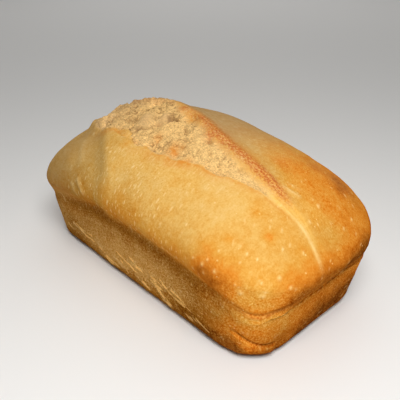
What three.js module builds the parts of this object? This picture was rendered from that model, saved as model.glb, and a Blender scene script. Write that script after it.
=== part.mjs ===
// Sourdough loaf baked in a loaf tin, as one solid.
// The tin shaped the lower walls. Above the tin's rim the dough swelled into a crown that
// overhangs the walls, and a lengthwise score tore open into a craggy band with a raised ear.
// Millimetres, +Z up, +X along the loaf, origin under the middle of the crown on the base.
import * as THREE from 'three';
import { mergeVertices } from 'three/addons/utils/BufferGeometryUtils.js';

// Walls shaped by the tin: where its middle lies from the crown's middle, then the outlines of base and rim
const TIN_X = 3.7;
const BASE = { halfLength: 117.3, halfWidth: 59.9, corner: 31, shiftX: TIN_X - 2.3, shiftY: -1.2 };
const BASE_ROUNDING = 8.3;
const RIM = { halfLength: 118, halfWidth: 65.7, corner: 28, shiftX: TIN_X, shiftY: 0 };

// Groove under the crown: its height along the loaf, its dip round the near front corner, and its depth
const GROOVE_HEIGHT = { middle: 54.9, slope: 0.6, sag: -16.7 };
const GROOVE_DIP = 4.3;
const GROOVE_DIP_SPREAD = 0.5;
const GROOVE_DEPTH = 0.8;
const GROOVE_DIP_DEPTH = 1.2;
const RIM_BELOW_GROOVE = 4;

// Crown: widest outline, the height it lies at, and the height along the top
const CROWN = { halfLength: 128.3, halfWidth: 69.7, corner: 46.3, shiftX: 0, shiftY: 0 };
const CROWN_SIDE_BOW = 0.9;
const CROWN_END_BOW = 0.4;
const WIDEST_HEIGHT = { middle: 65, slope: 1.8, sag: -13.1 };
const TOP_HEIGHT = { middle: 111.2, slope: -6.3, sag: -27.4 };
const SPINE = { halfLength: 40.4, y: 10.2, shiftX: TIN_X };
const SIDE_POWER = 1.14;

// Torn score: the front lip is a shallow arc, the ear a line that swings forward
const LIP = { reach: -42, rise: 22, middle: -12, span: 96, endRise: 5, endFrom: 84, endTo: 110 };
const LIP_ROLL = { height: 0.7, tipHeight: 4.6, tipFrom: -88, tipTo: -83, fadeTo: -56, width: 5 };
const LIP_DROP = 2.4;
const LIP_DROP_WIDTH = 8;
const TORN_EDGE = 5;
const EAR = { y: 10, farDrop: 7, farFrom: -72, farTo: -45, swing: 17.5, swingFrom: -25, swingTo: 62 };
const EAR_END = { swing: 10.5, from: 100, to: 128 };
const EAR_HEIGHT = { near: 2.2, middle: 3.4, far: 2.9 };
const EAR_MIDDLE = { from: -34, to: -4 };
const EAR_FAR = { from: -66, to: -36 };
const EAR_FADE = { from: 66, to: 118 };
const EAR_RISE_POWER = { far: 0.8, near: 1.7 };
const EAR_BACK_WIDTH = 8;
const TEAR_START = { from: -80, to: -68 };
const TEAR_FADE = { from: 52, to: 90 };

// Crags of the torn crumb: noise sizes and depths, then single pits and lumps
const CRAGS = [{ size: 16, depth: 3 }, { size: 8, depth: 1.4 }];
const CRAG_SEED = 40;
const LUMPS = [
  { x: -47, y: -22, radius: 6, height: -3.2 },
  { x: -10, y: -7, radius: 6, height: -3 },
  { x: 41, y: -17, radius: 5, height: -1.8 },
  { x: -70, y: -9, radius: 8, height: 3 },
];

// Fold of dough at the near lower corner: direction from the corner's middle and height, end to end
const FOLD = { fromDegrees: -70, toDegrees: -10, fromHeight: 22, toHeight: 5, bulge: 0.8, softness: 3 };

// Unevenness of the crust, weaker on the walls that the tin shaped
const WAVES = [{ size: 58, depth: 1.2 }, { size: 26, depth: 0.6 }];
const WAVE_SEED = 7;
const WALL_WAVE_SHARE = 0.5;

// Mesh steps: columns for each quarter of the outline, rows for each stretch of the profile
const QUARTER = { end: 4, corner: 16, side: 15 };
const ROWS = { rounding: 3, wall: 4, overhang: 5, dome: 26 };
const MERGE_TOLERANCE = 1e-4;

const CRUST_COLOUR = 0xdca053;
const RIGHT_ANGLE = Math.PI / 2;
const NEAR_CORNER = new THREE.Vector2(1, -1).normalize();

// Helpers

function ramp(value, from, to) {
  return THREE.MathUtils.smoothstep(value, from, to);
}

function hump(distance, width) {
  return Math.exp(-((distance / width) ** 2));
}

// Seeded smooth noise between -1 and 1

const HASH = new THREE.Vector3(127.1, 311.7, 74.7);
const HASH_GAIN = 43758.5453;

function latticeValue(i, j, k) {
  const s = Math.sin(i * HASH.x + j * HASH.y + k * HASH.z) * HASH_GAIN;
  return 2 * (s - Math.floor(s)) - 1;
}

function noise(x, y, z) {
  const i = Math.floor(x);
  const j = Math.floor(y);
  const k = Math.floor(z);
  const { lerp, smootherstep } = THREE.MathUtils;
  const fx = smootherstep(x - i, 0, 1);
  const fy = smootherstep(y - j, 0, 1);
  const fz = smootherstep(z - k, 0, 1);
  const alongX = (dj, dk) => lerp(latticeValue(i, j + dj, k + dk), latticeValue(i + 1, j + dj, k + dk), fx);
  const alongY = (dk) => lerp(alongX(0, dk), alongX(1, dk), fy);
  return lerp(alongY(0), alongY(1), fz);
}

function layeredNoise(layers, seed, x, y, z) {
  let sum = 0;
  for (const { size, depth } of layers) {
    sum += depth * noise(x / size + seed, y / size, z / size);
  }
  return sum;
}

// Outlines: rounded rectangles that share their columns, so that rows line up

function quarterColumns() {
  const columns = [];
  for (let n = 0; n < QUARTER.end; n += 1) {
    columns.push({ along: 1, across: n / QUARTER.end, angle: 0 });
  }
  for (let n = 0; n < QUARTER.corner; n += 1) {
    columns.push({ along: 1, across: 1, angle: (RIGHT_ANGLE * n) / QUARTER.corner });
  }
  for (let n = 0; n <= QUARTER.side; n += 1) {
    columns.push({ along: 1 - n / QUARTER.side, across: 1, angle: RIGHT_ANGLE });
  }
  return columns;
}

function loopColumns() {
  const quarter = quarterColumns();
  const last = quarter.length - 1;
  const forward = quarter.slice(0, last);
  const backward = quarter.slice(1).reverse();
  const place = (columns, signX, signY) => columns.map(({ along, across, angle }) => ({
    along: signX * along,
    across: signY * across,
    normal: new THREE.Vector2(signX * Math.cos(angle), signY * Math.sin(angle)),
  }));
  return [
    ...place(forward, 1, 1),
    ...place(backward, -1, 1),
    ...place(forward, -1, -1),
    ...place(backward, 1, -1),
  ];
}

function outlinePoint({ halfLength, halfWidth, corner, shiftX, shiftY }, column) {
  return new THREE.Vector2(
    shiftX + column.along * (halfLength - corner) + column.normal.x * corner,
    shiftY + column.across * (halfWidth - corner) + column.normal.y * corner,
  );
}

function blendOutline(a, b, share) {
  const blended = {};
  for (const key of Object.keys(a)) {
    blended[key] = THREE.MathUtils.lerp(a[key], b[key], share);
  }
  return blended;
}

function insetOutline(outline, depth) {
  return {
    ...outline,
    halfLength: outline.halfLength - depth,
    halfWidth: outline.halfWidth - depth,
    corner: outline.corner - depth,
  };
}

// The sides of the crown bow outward between its corners
function bow(point, share) {
  const u = point.x / CROWN.halfLength;
  const v = point.y / CROWN.halfWidth;
  const sideways = Math.cos(RIGHT_ANGLE * THREE.MathUtils.clamp(u, -1, 1)) ** 2 * v ** 3;
  const endways = Math.cos(RIGHT_ANGLE * THREE.MathUtils.clamp(v, -1, 1)) ** 2 * u ** 3;
  return new THREE.Vector2(
    point.x + CROWN_END_BOW * share * endways,
    point.y + CROWN_SIDE_BOW * share * sideways,
  );
}

// Heights that bend along the loaf, from the tin's middle
function heightAlong({ middle, slope, sag }, x, halfLength) {
  const u = (x - TIN_X) / halfLength;
  return middle + slope * u + sag * u * u;
}

function nearCornerShare(column) {
  const away = column.normal.distanceTo(NEAR_CORNER);
  return hump(away, GROOVE_DIP_SPREAD) * Math.min(Math.abs(column.along), Math.abs(column.across)) ** 2;
}

function grooveHeight(x, column) {
  return heightAlong(GROOVE_HEIGHT, x, RIM.halfLength) - GROOVE_DIP * nearCornerShare(column);
}

function widestHeight(x) {
  return heightAlong(WIDEST_HEIGHT, x, RIM.halfLength);
}

function topHeight(x) {
  return heightAlong(TOP_HEIGHT, x, CROWN.halfLength);
}

// The torn score, as a height added to the crown at a place in plan

function lipLine(x) {
  const reach = Math.min(((x - LIP.middle) / LIP.span) ** 2, 1);
  return LIP.reach + LIP.rise * reach + LIP.endRise * ramp(x, LIP.endFrom, LIP.endTo);
}

function earLine(x) {
  const far = EAR.farDrop * (1 - ramp(x, EAR.farFrom, EAR.farTo));
  const swing = EAR.swing * ramp(x, EAR.swingFrom, EAR.swingTo);
  return EAR.y - far - swing - EAR_END.swing * ramp(x, EAR_END.from, EAR_END.to);
}

function earHeight(x) {
  const middle = EAR_HEIGHT.middle * (1 - ramp(x, EAR_MIDDLE.from, EAR_MIDDLE.to));
  const far = EAR_HEIGHT.far * (1 - ramp(x, EAR_FAR.from, EAR_FAR.to));
  return (EAR_HEIGHT.near + middle + far) * (1 - ramp(x, EAR_FADE.from, EAR_FADE.to));
}

function lipHeight(x) {
  const tip = LIP_ROLL.tipHeight * (1 - ramp(x, LIP_ROLL.tipTo, LIP_ROLL.fadeTo));
  return (LIP_ROLL.height + tip) * ramp(x, LIP_ROLL.tipFrom, LIP_ROLL.tipTo);
}

function tearRelief(x, y) {
  const lip = lipLine(x);
  const ear = earLine(x);
  const share = THREE.MathUtils.clamp((y - lip) / Math.max(ear - lip, 1), 0, 1);
  const open = ramp(x, TEAR_START.from, TEAR_START.to);
  const torn = open * (1 - ramp(x, TEAR_FADE.from, TEAR_FADE.to));
  const inside = ramp(y, lip, lip + TORN_EDGE) * (1 - ramp(y, ear - TORN_EDGE, ear));
  const behindEar = Math.max(y - ear, 0);
  const nearShare = ramp(x, EAR_FAR.from, EAR_FAR.to);
  const power = THREE.MathUtils.lerp(EAR_RISE_POWER.far, EAR_RISE_POWER.near, nearShare);
  let height = open * earHeight(x) * share ** power * hump(behindEar, EAR_BACK_WIDTH);
  height += lipHeight(x) * hump(y - lip, LIP_ROLL.width);
  height -= torn * inside * LIP_DROP * hump(y - lip - TORN_EDGE, LIP_DROP_WIDTH);
  height += torn * inside * layeredNoise(CRAGS, CRAG_SEED, x, y, 0);
  for (const lump of LUMPS) {
    height += lump.height * hump(Math.hypot(x - lump.x, y - lump.y), lump.radius);
  }
  return height;
}

// The fold of dough, as a bulge of the wall below a slanting line round the near corner

function foldBulge(x, y, z) {
  const cornerX = BASE.shiftX + BASE.halfLength - BASE.corner;
  const cornerY = BASE.shiftY - BASE.halfWidth + BASE.corner;
  const degrees = THREE.MathUtils.radToDeg(Math.atan2(y - cornerY, x - cornerX));
  const along = (degrees - FOLD.fromDegrees) / (FOLD.toDegrees - FOLD.fromDegrees);
  if (along <= 0 || along >= 1) {
    return 0;
  }
  const line = THREE.MathUtils.lerp(FOLD.fromHeight, FOLD.toHeight, along);
  const below = 1 - ramp(z, line - FOLD.softness, line);
  return FOLD.bulge * Math.sin(Math.PI * along) * below * ramp(z, 0, FOLD.softness);
}

function unevenness(x, y, z) {
  return layeredNoise(WAVES, WAVE_SEED, x, y, z);
}

// Profile rows, each a function from a column to a point

function pushedOut(point, z, column, out) {
  return new THREE.Vector3(point.x + column.normal.x * out, point.y + column.normal.y * out, z);
}

function baseRows() {
  const contact = insetOutline(BASE, BASE_ROUNDING);
  const seamHalf = contact.halfLength - contact.halfWidth;
  const seam = (column) => {
    const p = outlinePoint(contact, column);
    const x = THREE.MathUtils.clamp(p.x, BASE.shiftX - seamHalf, BASE.shiftX + seamHalf);
    return new THREE.Vector3(x, BASE.shiftY, 0);
  };
  const rows = [seam, (column) => pushedOut(outlinePoint(contact, column), 0, column, 0)];
  for (let n = 1; n <= ROWS.rounding; n += 1) {
    const turn = (RIGHT_ANGLE * n) / ROWS.rounding;
    const outline = insetOutline(BASE, BASE_ROUNDING * (1 - Math.sin(turn)));
    const z = BASE_ROUNDING * (1 - Math.cos(turn));
    const share = (WALL_WAVE_SHARE * n) / ROWS.rounding;
    rows.push((column) => {
      const p = outlinePoint(outline, column);
      return pushedOut(p, z, column, share * unevenness(p.x, p.y, z) + foldBulge(p.x, p.y, z));
    });
  }
  return rows;
}

function wallRows() {
  const rows = [];
  for (let n = 1; n <= ROWS.wall; n += 1) {
    const share = n / ROWS.wall;
    const outline = blendOutline(BASE, RIM, share);
    rows.push((column) => {
      const p = outlinePoint(outline, column);
      const rim = grooveHeight(p.x, column) - RIM_BELOW_GROOVE;
      const z = THREE.MathUtils.lerp(BASE_ROUNDING, rim, share);
      return pushedOut(p, z, column, WALL_WAVE_SHARE * unevenness(p.x, p.y, z) + foldBulge(p.x, p.y, z));
    });
  }
  return rows;
}

function crownEdge(share, column) {
  return bow(outlinePoint(blendOutline(RIM, CROWN, share), column), share);
}

// From the groove the crown swells out in a soft double curve to its widest outline
function overhangRows() {
  const rows = [];
  for (let n = 0; n <= ROWS.overhang; n += 1) {
    rows.push((column) => {
      const widest = crownEdge(1, column);
      const groove = grooveHeight(widest.x, column);
      const rim = groove - RIM_BELOW_GROOVE;
      const grooveRise = RIM_BELOW_GROOVE / (widestHeight(widest.x) - rim);
      const rise = THREE.MathUtils.lerp(grooveRise, 1, n / ROWS.overhang);
      const p = crownEdge(ramp(rise, 0, 1), column);
      const z = THREE.MathUtils.lerp(rim, widestHeight(widest.x), rise);
      const depth = n === 0 ? GROOVE_DEPTH + GROOVE_DIP_DEPTH * nearCornerShare(column) : 0;
      const wave = THREE.MathUtils.lerp(WALL_WAVE_SHARE, 1, rise) * unevenness(p.x, p.y, z);
      return pushedOut(p, z, column, wave - depth);
    });
  }
  return rows;
}

function domeRows() {
  const rows = [];
  const spineLow = SPINE.shiftX - SPINE.halfLength;
  const spineHigh = SPINE.shiftX + SPINE.halfLength;
  for (let n = 1; n <= ROWS.dome; n += 1) {
    const turn = (RIGHT_ANGLE * n) / ROWS.dome;
    const level = n === ROWS.dome ? 0 : Math.cos(turn);
    const inward = 1 - level ** SIDE_POWER;
    rows.push((column) => {
      const edge = crownEdge(1, column);
      const spine = new THREE.Vector2(THREE.MathUtils.clamp(edge.x, spineLow, spineHigh), SPINE.y);
      const foot = THREE.MathUtils.lerp(widestHeight(edge.x), WIDEST_HEIGHT.middle, inward);
      const p = edge.lerp(spine, inward);
      const z = THREE.MathUtils.lerp(foot, topHeight(p.x), Math.sin(turn));
      const wave = unevenness(p.x, p.y, z);
      return pushedOut(p, z + wave * Math.sin(turn) + tearRelief(p.x, p.y), column, wave * level);
    });
  }
  return rows;
}

// The closed surface: rows of quads, with seams where the first and last rows fold onto a line

function loafGeometry() {
  const columns = loopColumns();
  const rows = [...baseRows(), ...wallRows(), ...overhangRows(), ...domeRows()];
  const points = rows.flatMap((row) => columns.map((column) => row(column)));
  const count = columns.length;
  const index = [];
  for (let r = 0; r < rows.length - 1; r += 1) {
    for (let c = 0; c < count; c += 1) {
      const next = (c + 1) % count;
      const a = r * count + c;
      const b = r * count + next;
      const d = (r + 1) * count + c;
      const e = (r + 1) * count + next;
      index.push(a, b, e, a, e, d);
    }
  }
  const geometry = new THREE.BufferGeometry().setFromPoints(points);
  geometry.setIndex(index);
  return dropFlatTriangles(mergeVertices(geometry, MERGE_TOLERANCE));
}

// Where a row folds onto a seam, some triangles lose a corner and are left out
function dropFlatTriangles(geometry) {
  const index = geometry.getIndex().array;
  const kept = [];
  for (let n = 0; n < index.length; n += 3) {
    const [a, b, c] = [index[n], index[n + 1], index[n + 2]];
    if (a !== b && b !== c && c !== a) {
      kept.push(a, b, c);
    }
  }
  geometry.setIndex(kept);
  geometry.computeVertexNormals();
  return geometry;
}

function loafMesh() {
  const crust = new THREE.MeshStandardMaterial({ color: CRUST_COLOUR, roughness: 0.6, metalness: 0 });
  const mesh = new THREE.Mesh(loafGeometry(), crust);
  mesh.name = 'loaf';
  return mesh;
}

const sourdoughLoaf = new THREE.Group();
sourdoughLoaf.add(loafMesh());

export default sourdoughLoaf;
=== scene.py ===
# Sourdough loaf: the detailed surface, its crust, a floor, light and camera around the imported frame.
import math

import bpy
import numpy as np
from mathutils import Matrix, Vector


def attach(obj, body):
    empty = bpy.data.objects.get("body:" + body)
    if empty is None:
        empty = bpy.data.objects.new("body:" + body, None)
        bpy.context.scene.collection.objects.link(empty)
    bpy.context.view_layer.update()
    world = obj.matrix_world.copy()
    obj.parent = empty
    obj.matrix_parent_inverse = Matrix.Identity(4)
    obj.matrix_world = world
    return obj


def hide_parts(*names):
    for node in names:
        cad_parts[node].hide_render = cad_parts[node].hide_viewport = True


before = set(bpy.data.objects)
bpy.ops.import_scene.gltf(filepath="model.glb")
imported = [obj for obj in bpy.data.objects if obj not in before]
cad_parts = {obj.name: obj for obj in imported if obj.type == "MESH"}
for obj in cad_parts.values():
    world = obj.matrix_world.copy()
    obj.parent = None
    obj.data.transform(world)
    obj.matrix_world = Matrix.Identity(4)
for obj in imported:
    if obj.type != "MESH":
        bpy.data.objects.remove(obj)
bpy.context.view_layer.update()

MILLIMETRE = 0.001
RIGHT_ANGLE = math.pi / 2
TINY = 1e-9
WELD_DIGITS = 4
SEED = 11
HASH = (127.1, 311.7, 74.7)
HASH_SCALE = 43758.5453

# Lengths are in millimetres. A span is where a change starts and ends. A grade is a first and a last value
# and the span between them. A window, named along, across, reach, step or zone, is where something starts,
# is full, fades and ends. A soft peak is a middle and a width.

# Walls shaped by the tin, with the same values as the part.
# An outline is half length, half width, corner radius and the middle's x and y.
TIN_X = 3.7
BASE = np.array([117.3, 59.9, 31, TIN_X - 2.3, -1.2])
BASE_ROUNDING = 8.3
RIM = np.array([118, 65.7, 28, TIN_X, 0])
RIM_HALF_LENGTH = RIM[0]
WALL_WAVE_SHARE = 0.5

# Groove under the crown. Round the near corner it is a thin crease with a bead below it
GROOVE_HEIGHT = (54.9, 0.6, -16.7)
GROOVE_DIP = 4.3
GROOVE_DIP_SPREAD = 0.5
GROOVE_DEPTH = 0.8
GROOVE_DIP_DEPTH = 0.3
GROOVE_WIDTH = 5
GROOVE_DIP_WIDTH = 1.1
GROOVE_END_RISE = 2.6
GROOVE_END = (-0.3, 0.3)
GROOVE_END_FACING = (0.5, 0.9)
GROOVE_FRONT = (95, 12)
GROOVE_FRONT_DEPTH = 0.6
# Painted shade: how dark the groove and the creases are painted, at the front, the far end, the bead and
# below
GROOVE_FRONT_DARK = 0.7
GROOVE_FAR_DARK = (0.5, 1, -92, -55)
SHADE_SHIFT_AT = (96, 112)
CREASE_ABOVE_GROOVE = 2.6
GROOVE_SHADE_BELOW = 3.5
BEAD_HEIGHT = 0.35
BEAD_ABOVE_GROOVE = 1.1
BEAD_WIDTH = 0.75
BEAD_DARK = 0.6
BEAD_PALE = 0.15
LOWER_CREASE_BELOW = 0.4
LOWER_CREASE_DEPTH = 0.28
LOWER_CREASE_DARK = 0.35
BEAD_SPREAD = 0.85
BEAD_FRONT_SPREAD = 0.32
RIM_BELOW_GROOVE = 4
WALL_EDGE = (7, 1)
NEAR_CORNER = np.array([1, -1]) / math.sqrt(2)

# Crown
CROWN = np.array([128.3, 69.7, 46.3, 0, 0])
CROWN_HALF_LENGTH = CROWN[0]
CROWN_HALF_WIDTH = CROWN[1]
CROWN_SIDE_BOW = 0.9
CROWN_END_BOW = 0.4
WIDEST_HEIGHT = (65, 1.8, -13.1)
TOP_HEIGHT = (111.2, -6.3, -27.4)
SPINE_HALF_LENGTH = 40.4
SPINE_Y = 10.2
SIDE_POWER = 1.14

# Torn score: front lip, raised ear and the crumb between them
LIP = {"reach": -42, "rise": 22, "middle": -12, "span": 96, "end_rise": 5, "end": (84, 110)}
LIP_END_DROP = (0, 4, 110, 130)
LIP_ROLL = {"height": 0.7, "tip_height": 4.6, "tip": (-83, -76), "fade": (-76, -54), "width": 5}
LIP_DROP = 2.4
LIP_DROP_WIDTH = 8
TORN_EDGE = 5
EAR = {"y": 10, "far_drop": 7, "far": (-72, -45), "swing": 17.5, "swing_at": (-25, 62)}
EAR_END = (0, 10.5, 104, 130)
EAR_HEIGHT = {"near": 2.2, "middle": 3.4, "far": 2.9}
EAR_MIDDLE = (-34, -4)
EAR_FAR = (-66, -36)
EAR_FADE = (66, 118)
EAR_RISE_POWER = {"far": 0.8, "near": 1.7}
EAR_BACK_WIDTH = 8
TEAR_START = (-80, -68)
TEAR_FADE = (52, 90)
CRAGS = ((16, 2.6), (8, 1.1))
CRAG_SEED = 40

# Lumps in the torn band: x, y, radius, height. The smooth ones have a crevice below them
ROUGH_LUMPS = ((-70, -9, 8, 3), (-70, 0.5, 4, 1.6), (-66, -29.5, 5.5, 3.2))
SMOOTH_LUMPS = ((-26, -20, 6.5, 3.2), (-16, -11.5, 5, 3.2))
SKIN_REACH = 0.9
SKIN_SMOOTHNESS = 0.9
SKIN_DULL = 0.6
CREVICE_DEPTH = 1.0
CREVICE_SIDE = (0.5, -0.9)
CREVICE_START = -0.3
CREVICE_AWAY = 1.1
CREVICE_WIDTH = 1.2

# Pockets in the crumb: middle, half length, half width, turn in degrees, depth
POCKETS = (
    (-47, -25.5, 4.5, 3.2, 20, 1.7),
    (-57, -29, 4, 2.4, -20, 1.8),
    (-11.5, -8.5, 6, 3.6, 40, 3.4),
    (-21, -15, 6, 1.5, 60, 1.0),
    (10, -14, 9, 1.2, -35, 0.6),
    (40, -20.5, 8, 1.6, -28, 1.2),
    (34, -14, 6, 1.4, -35, 0.9),
)
POCKET_EDGE = (0.45, 1.1)

# Step in the crumb: its height falls off behind its face and at both sides
STEP_HEIGHT = 1.4
STEP_ALONG = (-12.2, -9.8, -9, 11)
STEP_ACROSS = (-26, -21, -9, -5)

# Finer shape of the torn band
CRUMB_FADE = (80, 93)
EAR_BAND = (-7, 8.5, -46, -10)
EAR_BAND_END = (0, 2.5, 58, 88)
CRUMB_TIP = (2.6, 0, -62, -48)
CRUST_FLAP = 10
CRUST_FLAP_AT = (-31, 14)
LIP_JITTER = ((11, 1.8), (5, 0.9), (2.3, 0.45))
EAR_JITTER = ((13, 1.5), (5, 0.9), (2.2, 0.6))
CRISP_EDGE = 1.3
SOFT_EDGE = 3.5
CRUMB_WARP = ((7, 2.2), (3.5, 0.9))
CRUMB_RIDGES = ((5.5, 0.65), (3, 0.48))
CRUMB_RIDGE_SHARPNESS = 3
CRUMB_GRAIN = ((1.9, 0.36),)
CRUMB_COARSE = (1.1, 0.6, -15, 35)
CRUMB_PORE_SPACING = 5.2
CRUMB_PORE_SHIFT = 0.45
CRUMB_PORE_RADIUS = 0.9
CRUMB_PORE_DEPTH = 0.8
CRUMB_DROP = 0.3
# Painted shade in the crumb's crevices below lumps and in its hollows
PIT_CREVICE = 0.25
PIT_RELIEF = 0.28
FIBRE_SHARE = (1, 0.5, -5, 45)
CRUMB_DULL = (0.5, 0, -75, -30)
CRUMB_DULL_MOST = 0.8

# Pale lens of stretched skin where the tear runs out, with a paler edge along the lip
LENS_ALONG = (60, 84, 118, 130)
LENS_LIP = (-0.5, 1.5)
LENS_EAR = (-3, 5)
LENS_RIDGES = 3
LENS_RIDGE_HEIGHT = 0.25
LENS_STRIPE = 0.3
PALE_EDGE = (0.13, 0.65, 96, 110)
PALE_EDGE_ALONG = (66, 84, 122, 130)
PALE_EDGE_AT = (2, 1.3)

# Toasted band in front of the ear, then toasted spots: x, y, radius, strength
TOAST_LEAST_BAND = 3
TOAST_FRONT = (-4, 4)
TOAST_BACK = (-0.5, 5.5)
TOAST_STRONG = (-8, -2)
TOAST_WEAK = (0.55, 0.3, 40, 70)
TOAST_FAR = (0.3, 1, -30, 16)
TOAST_END = (88, 102)
TOAST_SPOTS = (
    (29, -9.5, 4.5, 0.7), (-14, 5, 4, 0.6), (0, 4.5, 4, -0.2), (80, -7, 3, 0.4), (71, -6.5, 3, 0.35),
)

# Orange glow along the lip: soft peaks, each with a strength. Then glowing spots: x, y, radius, strength
LIP_GLOWS = ((-44, 14, 0.6), (-5, 20, 0.15), (27, 20, 0.55), (70, 22, 0.2))
LIP_GLOW_AT = (-2.5, 3.2)
LIP_CREASE_GLOW = 0.5
LIP_CREASE_ALONG = (-20, 30, 96, 112)
LIP_CREASE_AT = (-0.6, 0.9)
GLOW_SPOTS = ((-4, -27, 3.5, 0.45), (17.5, -29.5, 5.5, 1.0), (34, -34, 3.5, 0.4))

# Fold of dough at the near lower corner: the crease's height at each direction from the corner's middle
FOLD_DEGREES = (-64, -58, -45, -36, -24, -15)
FOLD_HEIGHTS = (22.5, 20, 14, 11, 10.5, 12)
FOLD_REACH = (-74, -58, -24, -15)
FOLD_BULGE = 1.8
FOLD_EDGE = 1.6
FOLD_FOOT = 6
FOLD_CREASE = 1.3
FOLD_CREASE_AT = (0.6, 1.1)

# Unevenness of the crust
WAVES = ((58, 1.2), (26, 0.6))
WAVE_SEED = 7
FINE_WAVES = ((9, 0.2), (4, 0.1))
FINE_WAVES_FOOT = 8

# Soft fold down the far front of the crown: two points in plan, height, and where its shapes reach
DRAPE_START = np.array([-58.6, -35.3])
DRAPE_END = np.array([-12.4, -64.8])
DRAPE_HEIGHT = 2.6
DRAPE_ALONG = (-0.35, 0.1, 0.8, 1.25)
DRAPE_FOOT = (46, 58)
DRAPE_TOP = (-30, -16)
DRAPE_STEP = (-6, 4, 8, 45)
DRAPE_VALLEY = 0.6
DRAPE_VALLEY_AT = (-9, 6)

# Ridges on the crust: from a point to a point, half width, height
RIDGES = (
    ((-45, -69, 71.6), (-36, -71, 64.4), 1.8, 1.0),
    ((-52, -70, 66), (-47, -71, 60), 1.4, 0.5),
    ((-80, -67, 47), (-76, -66, 42), 1.2, 0.8),
    ((-67, -49, 89), (-51, -61.5, 81.5), 2.2, 0.4),
    ((-80, -58.5, 79.8), (-78.5, -60, 78), 0.9, 0.8),
    ((87, -4, 90.8), (95, 2, 86), 1.4, 0.7),
    ((86, 2, 91.5), (92, 7, 88), 1.2, 0.4),
    ((-72, -63, 22), (-57, -63, 19), 1.1, 0.6),
    ((-18, -62, 16), (-4, -62, 12), 1.1, 0.6),
    ((2, -63, 24), (10, -63, 22), 1.0, 0.5),
    ((34, -62, 11), (46, -61, 6), 1.1, 0.7),
    ((8, -62, 13), (20, -62, 9), 1.0, 0.5),
    ((-40, -63, 18), (-28, -63, 15), 1.0, 0.5),
)
RIDGE_PALE = 0.7

# Pale strokes low on the long walls: pixels of both ends of those that stand out, then seeded ones
STROKES = (
    (77, 223, 85, 233), (86, 235, 94, 241), (100, 246, 105, 252), (107, 255, 114, 262), (122, 261, 129, 273),
    (128, 263, 136, 271), (130, 257, 133, 261), (143, 281, 149, 288), (149, 272, 155, 281),
    (151, 280, 160, 289), (158, 290, 165, 298), (160, 280, 166, 288), (172, 290, 181, 299),
    (176, 299, 184, 306),
)
STROKE_COUNT = 80
STROKE_X = (-90, 75)
STROKE_Z = (7, 28)
STROKE_LENGTH = (4, 12)
STROKE_SLOPE = (-0.5, -0.1)
STROKE_STRENGTH = (0.3, 0.7)
STROKE_WIDTH = 1.3
STROKE_LIFT = 0.5
STROKE_TURN = math.radians(17)
STROKE_SIDE = 30
STROKE_END = (72, 92)
STROKE_ZONE = (5, 9, 22, 34)
STROKE_ZONE_SHARE = 0.4
STROKE_PATCH_LENGTH = 17
STROKE_PATCH_HEIGHT = 9
STROKE_PATCH_EDGE = (-0.4, 0.5)

# Soft wrinkles down the far front of the crown
WRINKLE_SPACING = 9
WRINKLE_LENGTH = 70
WRINKLE_HEIGHT = 0.45
WRINKLE_FADE = (-10, 40)
WRINKLE_FOOT = (52, 62)
WRINKLE_TOP = (-40, -25)

# Blisters and rings: pixel in the camera's picture and radius of those that stand out, then seeded blisters
BLISTERS = (
    (241, 293, 0.9), (261, 283, 0.8), (264, 296, 0.9), (279, 279, 1.1), (290, 288, 1.0), (248, 254, 0.7),
    (257, 260, 0.7), (283, 250, 0.7), (93, 133, 1.0), (65, 150, 0.9), (109, 149, 0.9), (112, 155, 0.9),
    (71.5, 183, 0.9), (134.5, 166.5, 0.8), (202, 264, 0.8), (214, 271, 0.9), (207, 259, 0.7), (193, 258, 0.7),
    (310, 222, 0.9), (292, 186, 0.9), (345, 196, 0.9), (317, 205, 0.8), (352, 220, 0.9), (303, 252, 0.8),
)
RINGS = ((251, 220, 3.2), (238, 241.5, 2.6))
RING_WIDTH = 0.5
RING_STRENGTH = 0.5
RING_GAPS = (-0.3, 0.4)
BLISTER_COUNT = 160
BLISTER_RADIUS = (0.4, 0.75)
BLISTER_STRENGTH = (0.4, 0.8)
BLISTER_STRETCH = (1.0, 1.6)
BLISTER_HEIGHT = 0.35
BLISTER_FOOT = 8
BLISTER_BELT = (62, 16)
BLISTER_WALL = 0.35

# Browned and pale places: middle, radius, how much more or less baked
BAKE_SPOTS = (
    (-72, 70, 62, 32, 0.18), (-12, 74, 62, 32, 0.22), (50, 72, 60, 30, 0.2), (-128, 10, 55, 26, 0.2),
    (91, -68, 58, 12, 0.32), (84, -69, 64, 6, 0.22), (77, 38.5, 91, 9, 0.1), (90, 47.5, 82, 11, 0.15),
    (99, 48.5, 77, 10, 0.13), (109, -28, 74.5, 6, 0.1), (-21.5, -71, 65, 8, -0.14),
    (-16, -46.5, 97.5, 5, 0.18), (127, -35, 52, 6, 0.06), (86, -4, 92, 9, 0.13), (91, 7, 88, 8, 0.12),
    (104, 6, 79, 8, 0.07), (-46, -70, 62, 8, -0.1), (126.5, 31, 58, 8, 0.2), (123, 17, 63, 6, -0.1),
    (101, -63, 58, 11, 0.2), (103.5, -35.5, 76.6, 3.2, 0.28), (90.3, -53.9, 77, 3.2, 0.15),
    (90, -31, 85, 6, 0.12), (83, -64, 73, 5, 0.12), (71, 11.5, 98, 8, 0.15), (62, 4, 102, 5, 0.12),
    (81, 20, 93, 8, 0.1), (92, 40, 84, 6, 0.12), (101, 37, 79, 5, 0.16), (48, 12, 104, 7, 0.12),
    # The last spot, paler where the near top is brightest, is a painted highlight
    (30, 16, 106, 8, 0.1), (75, -38, 90, 22, -0.06),
)
WALL_SPOTS = (
    (-72, -62, 16, 15, 0.4), (84, -63, 26, 18, 0.35), (50, -62, 19, 9, 0.18),
)
NEAR_WALL_SPOTS = (
    # A paler spot on the flap of the fold, a painted highlight
    (107.5, -56, 14, 5, -0.22),
)
MOST_BAKED = 0.97
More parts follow.
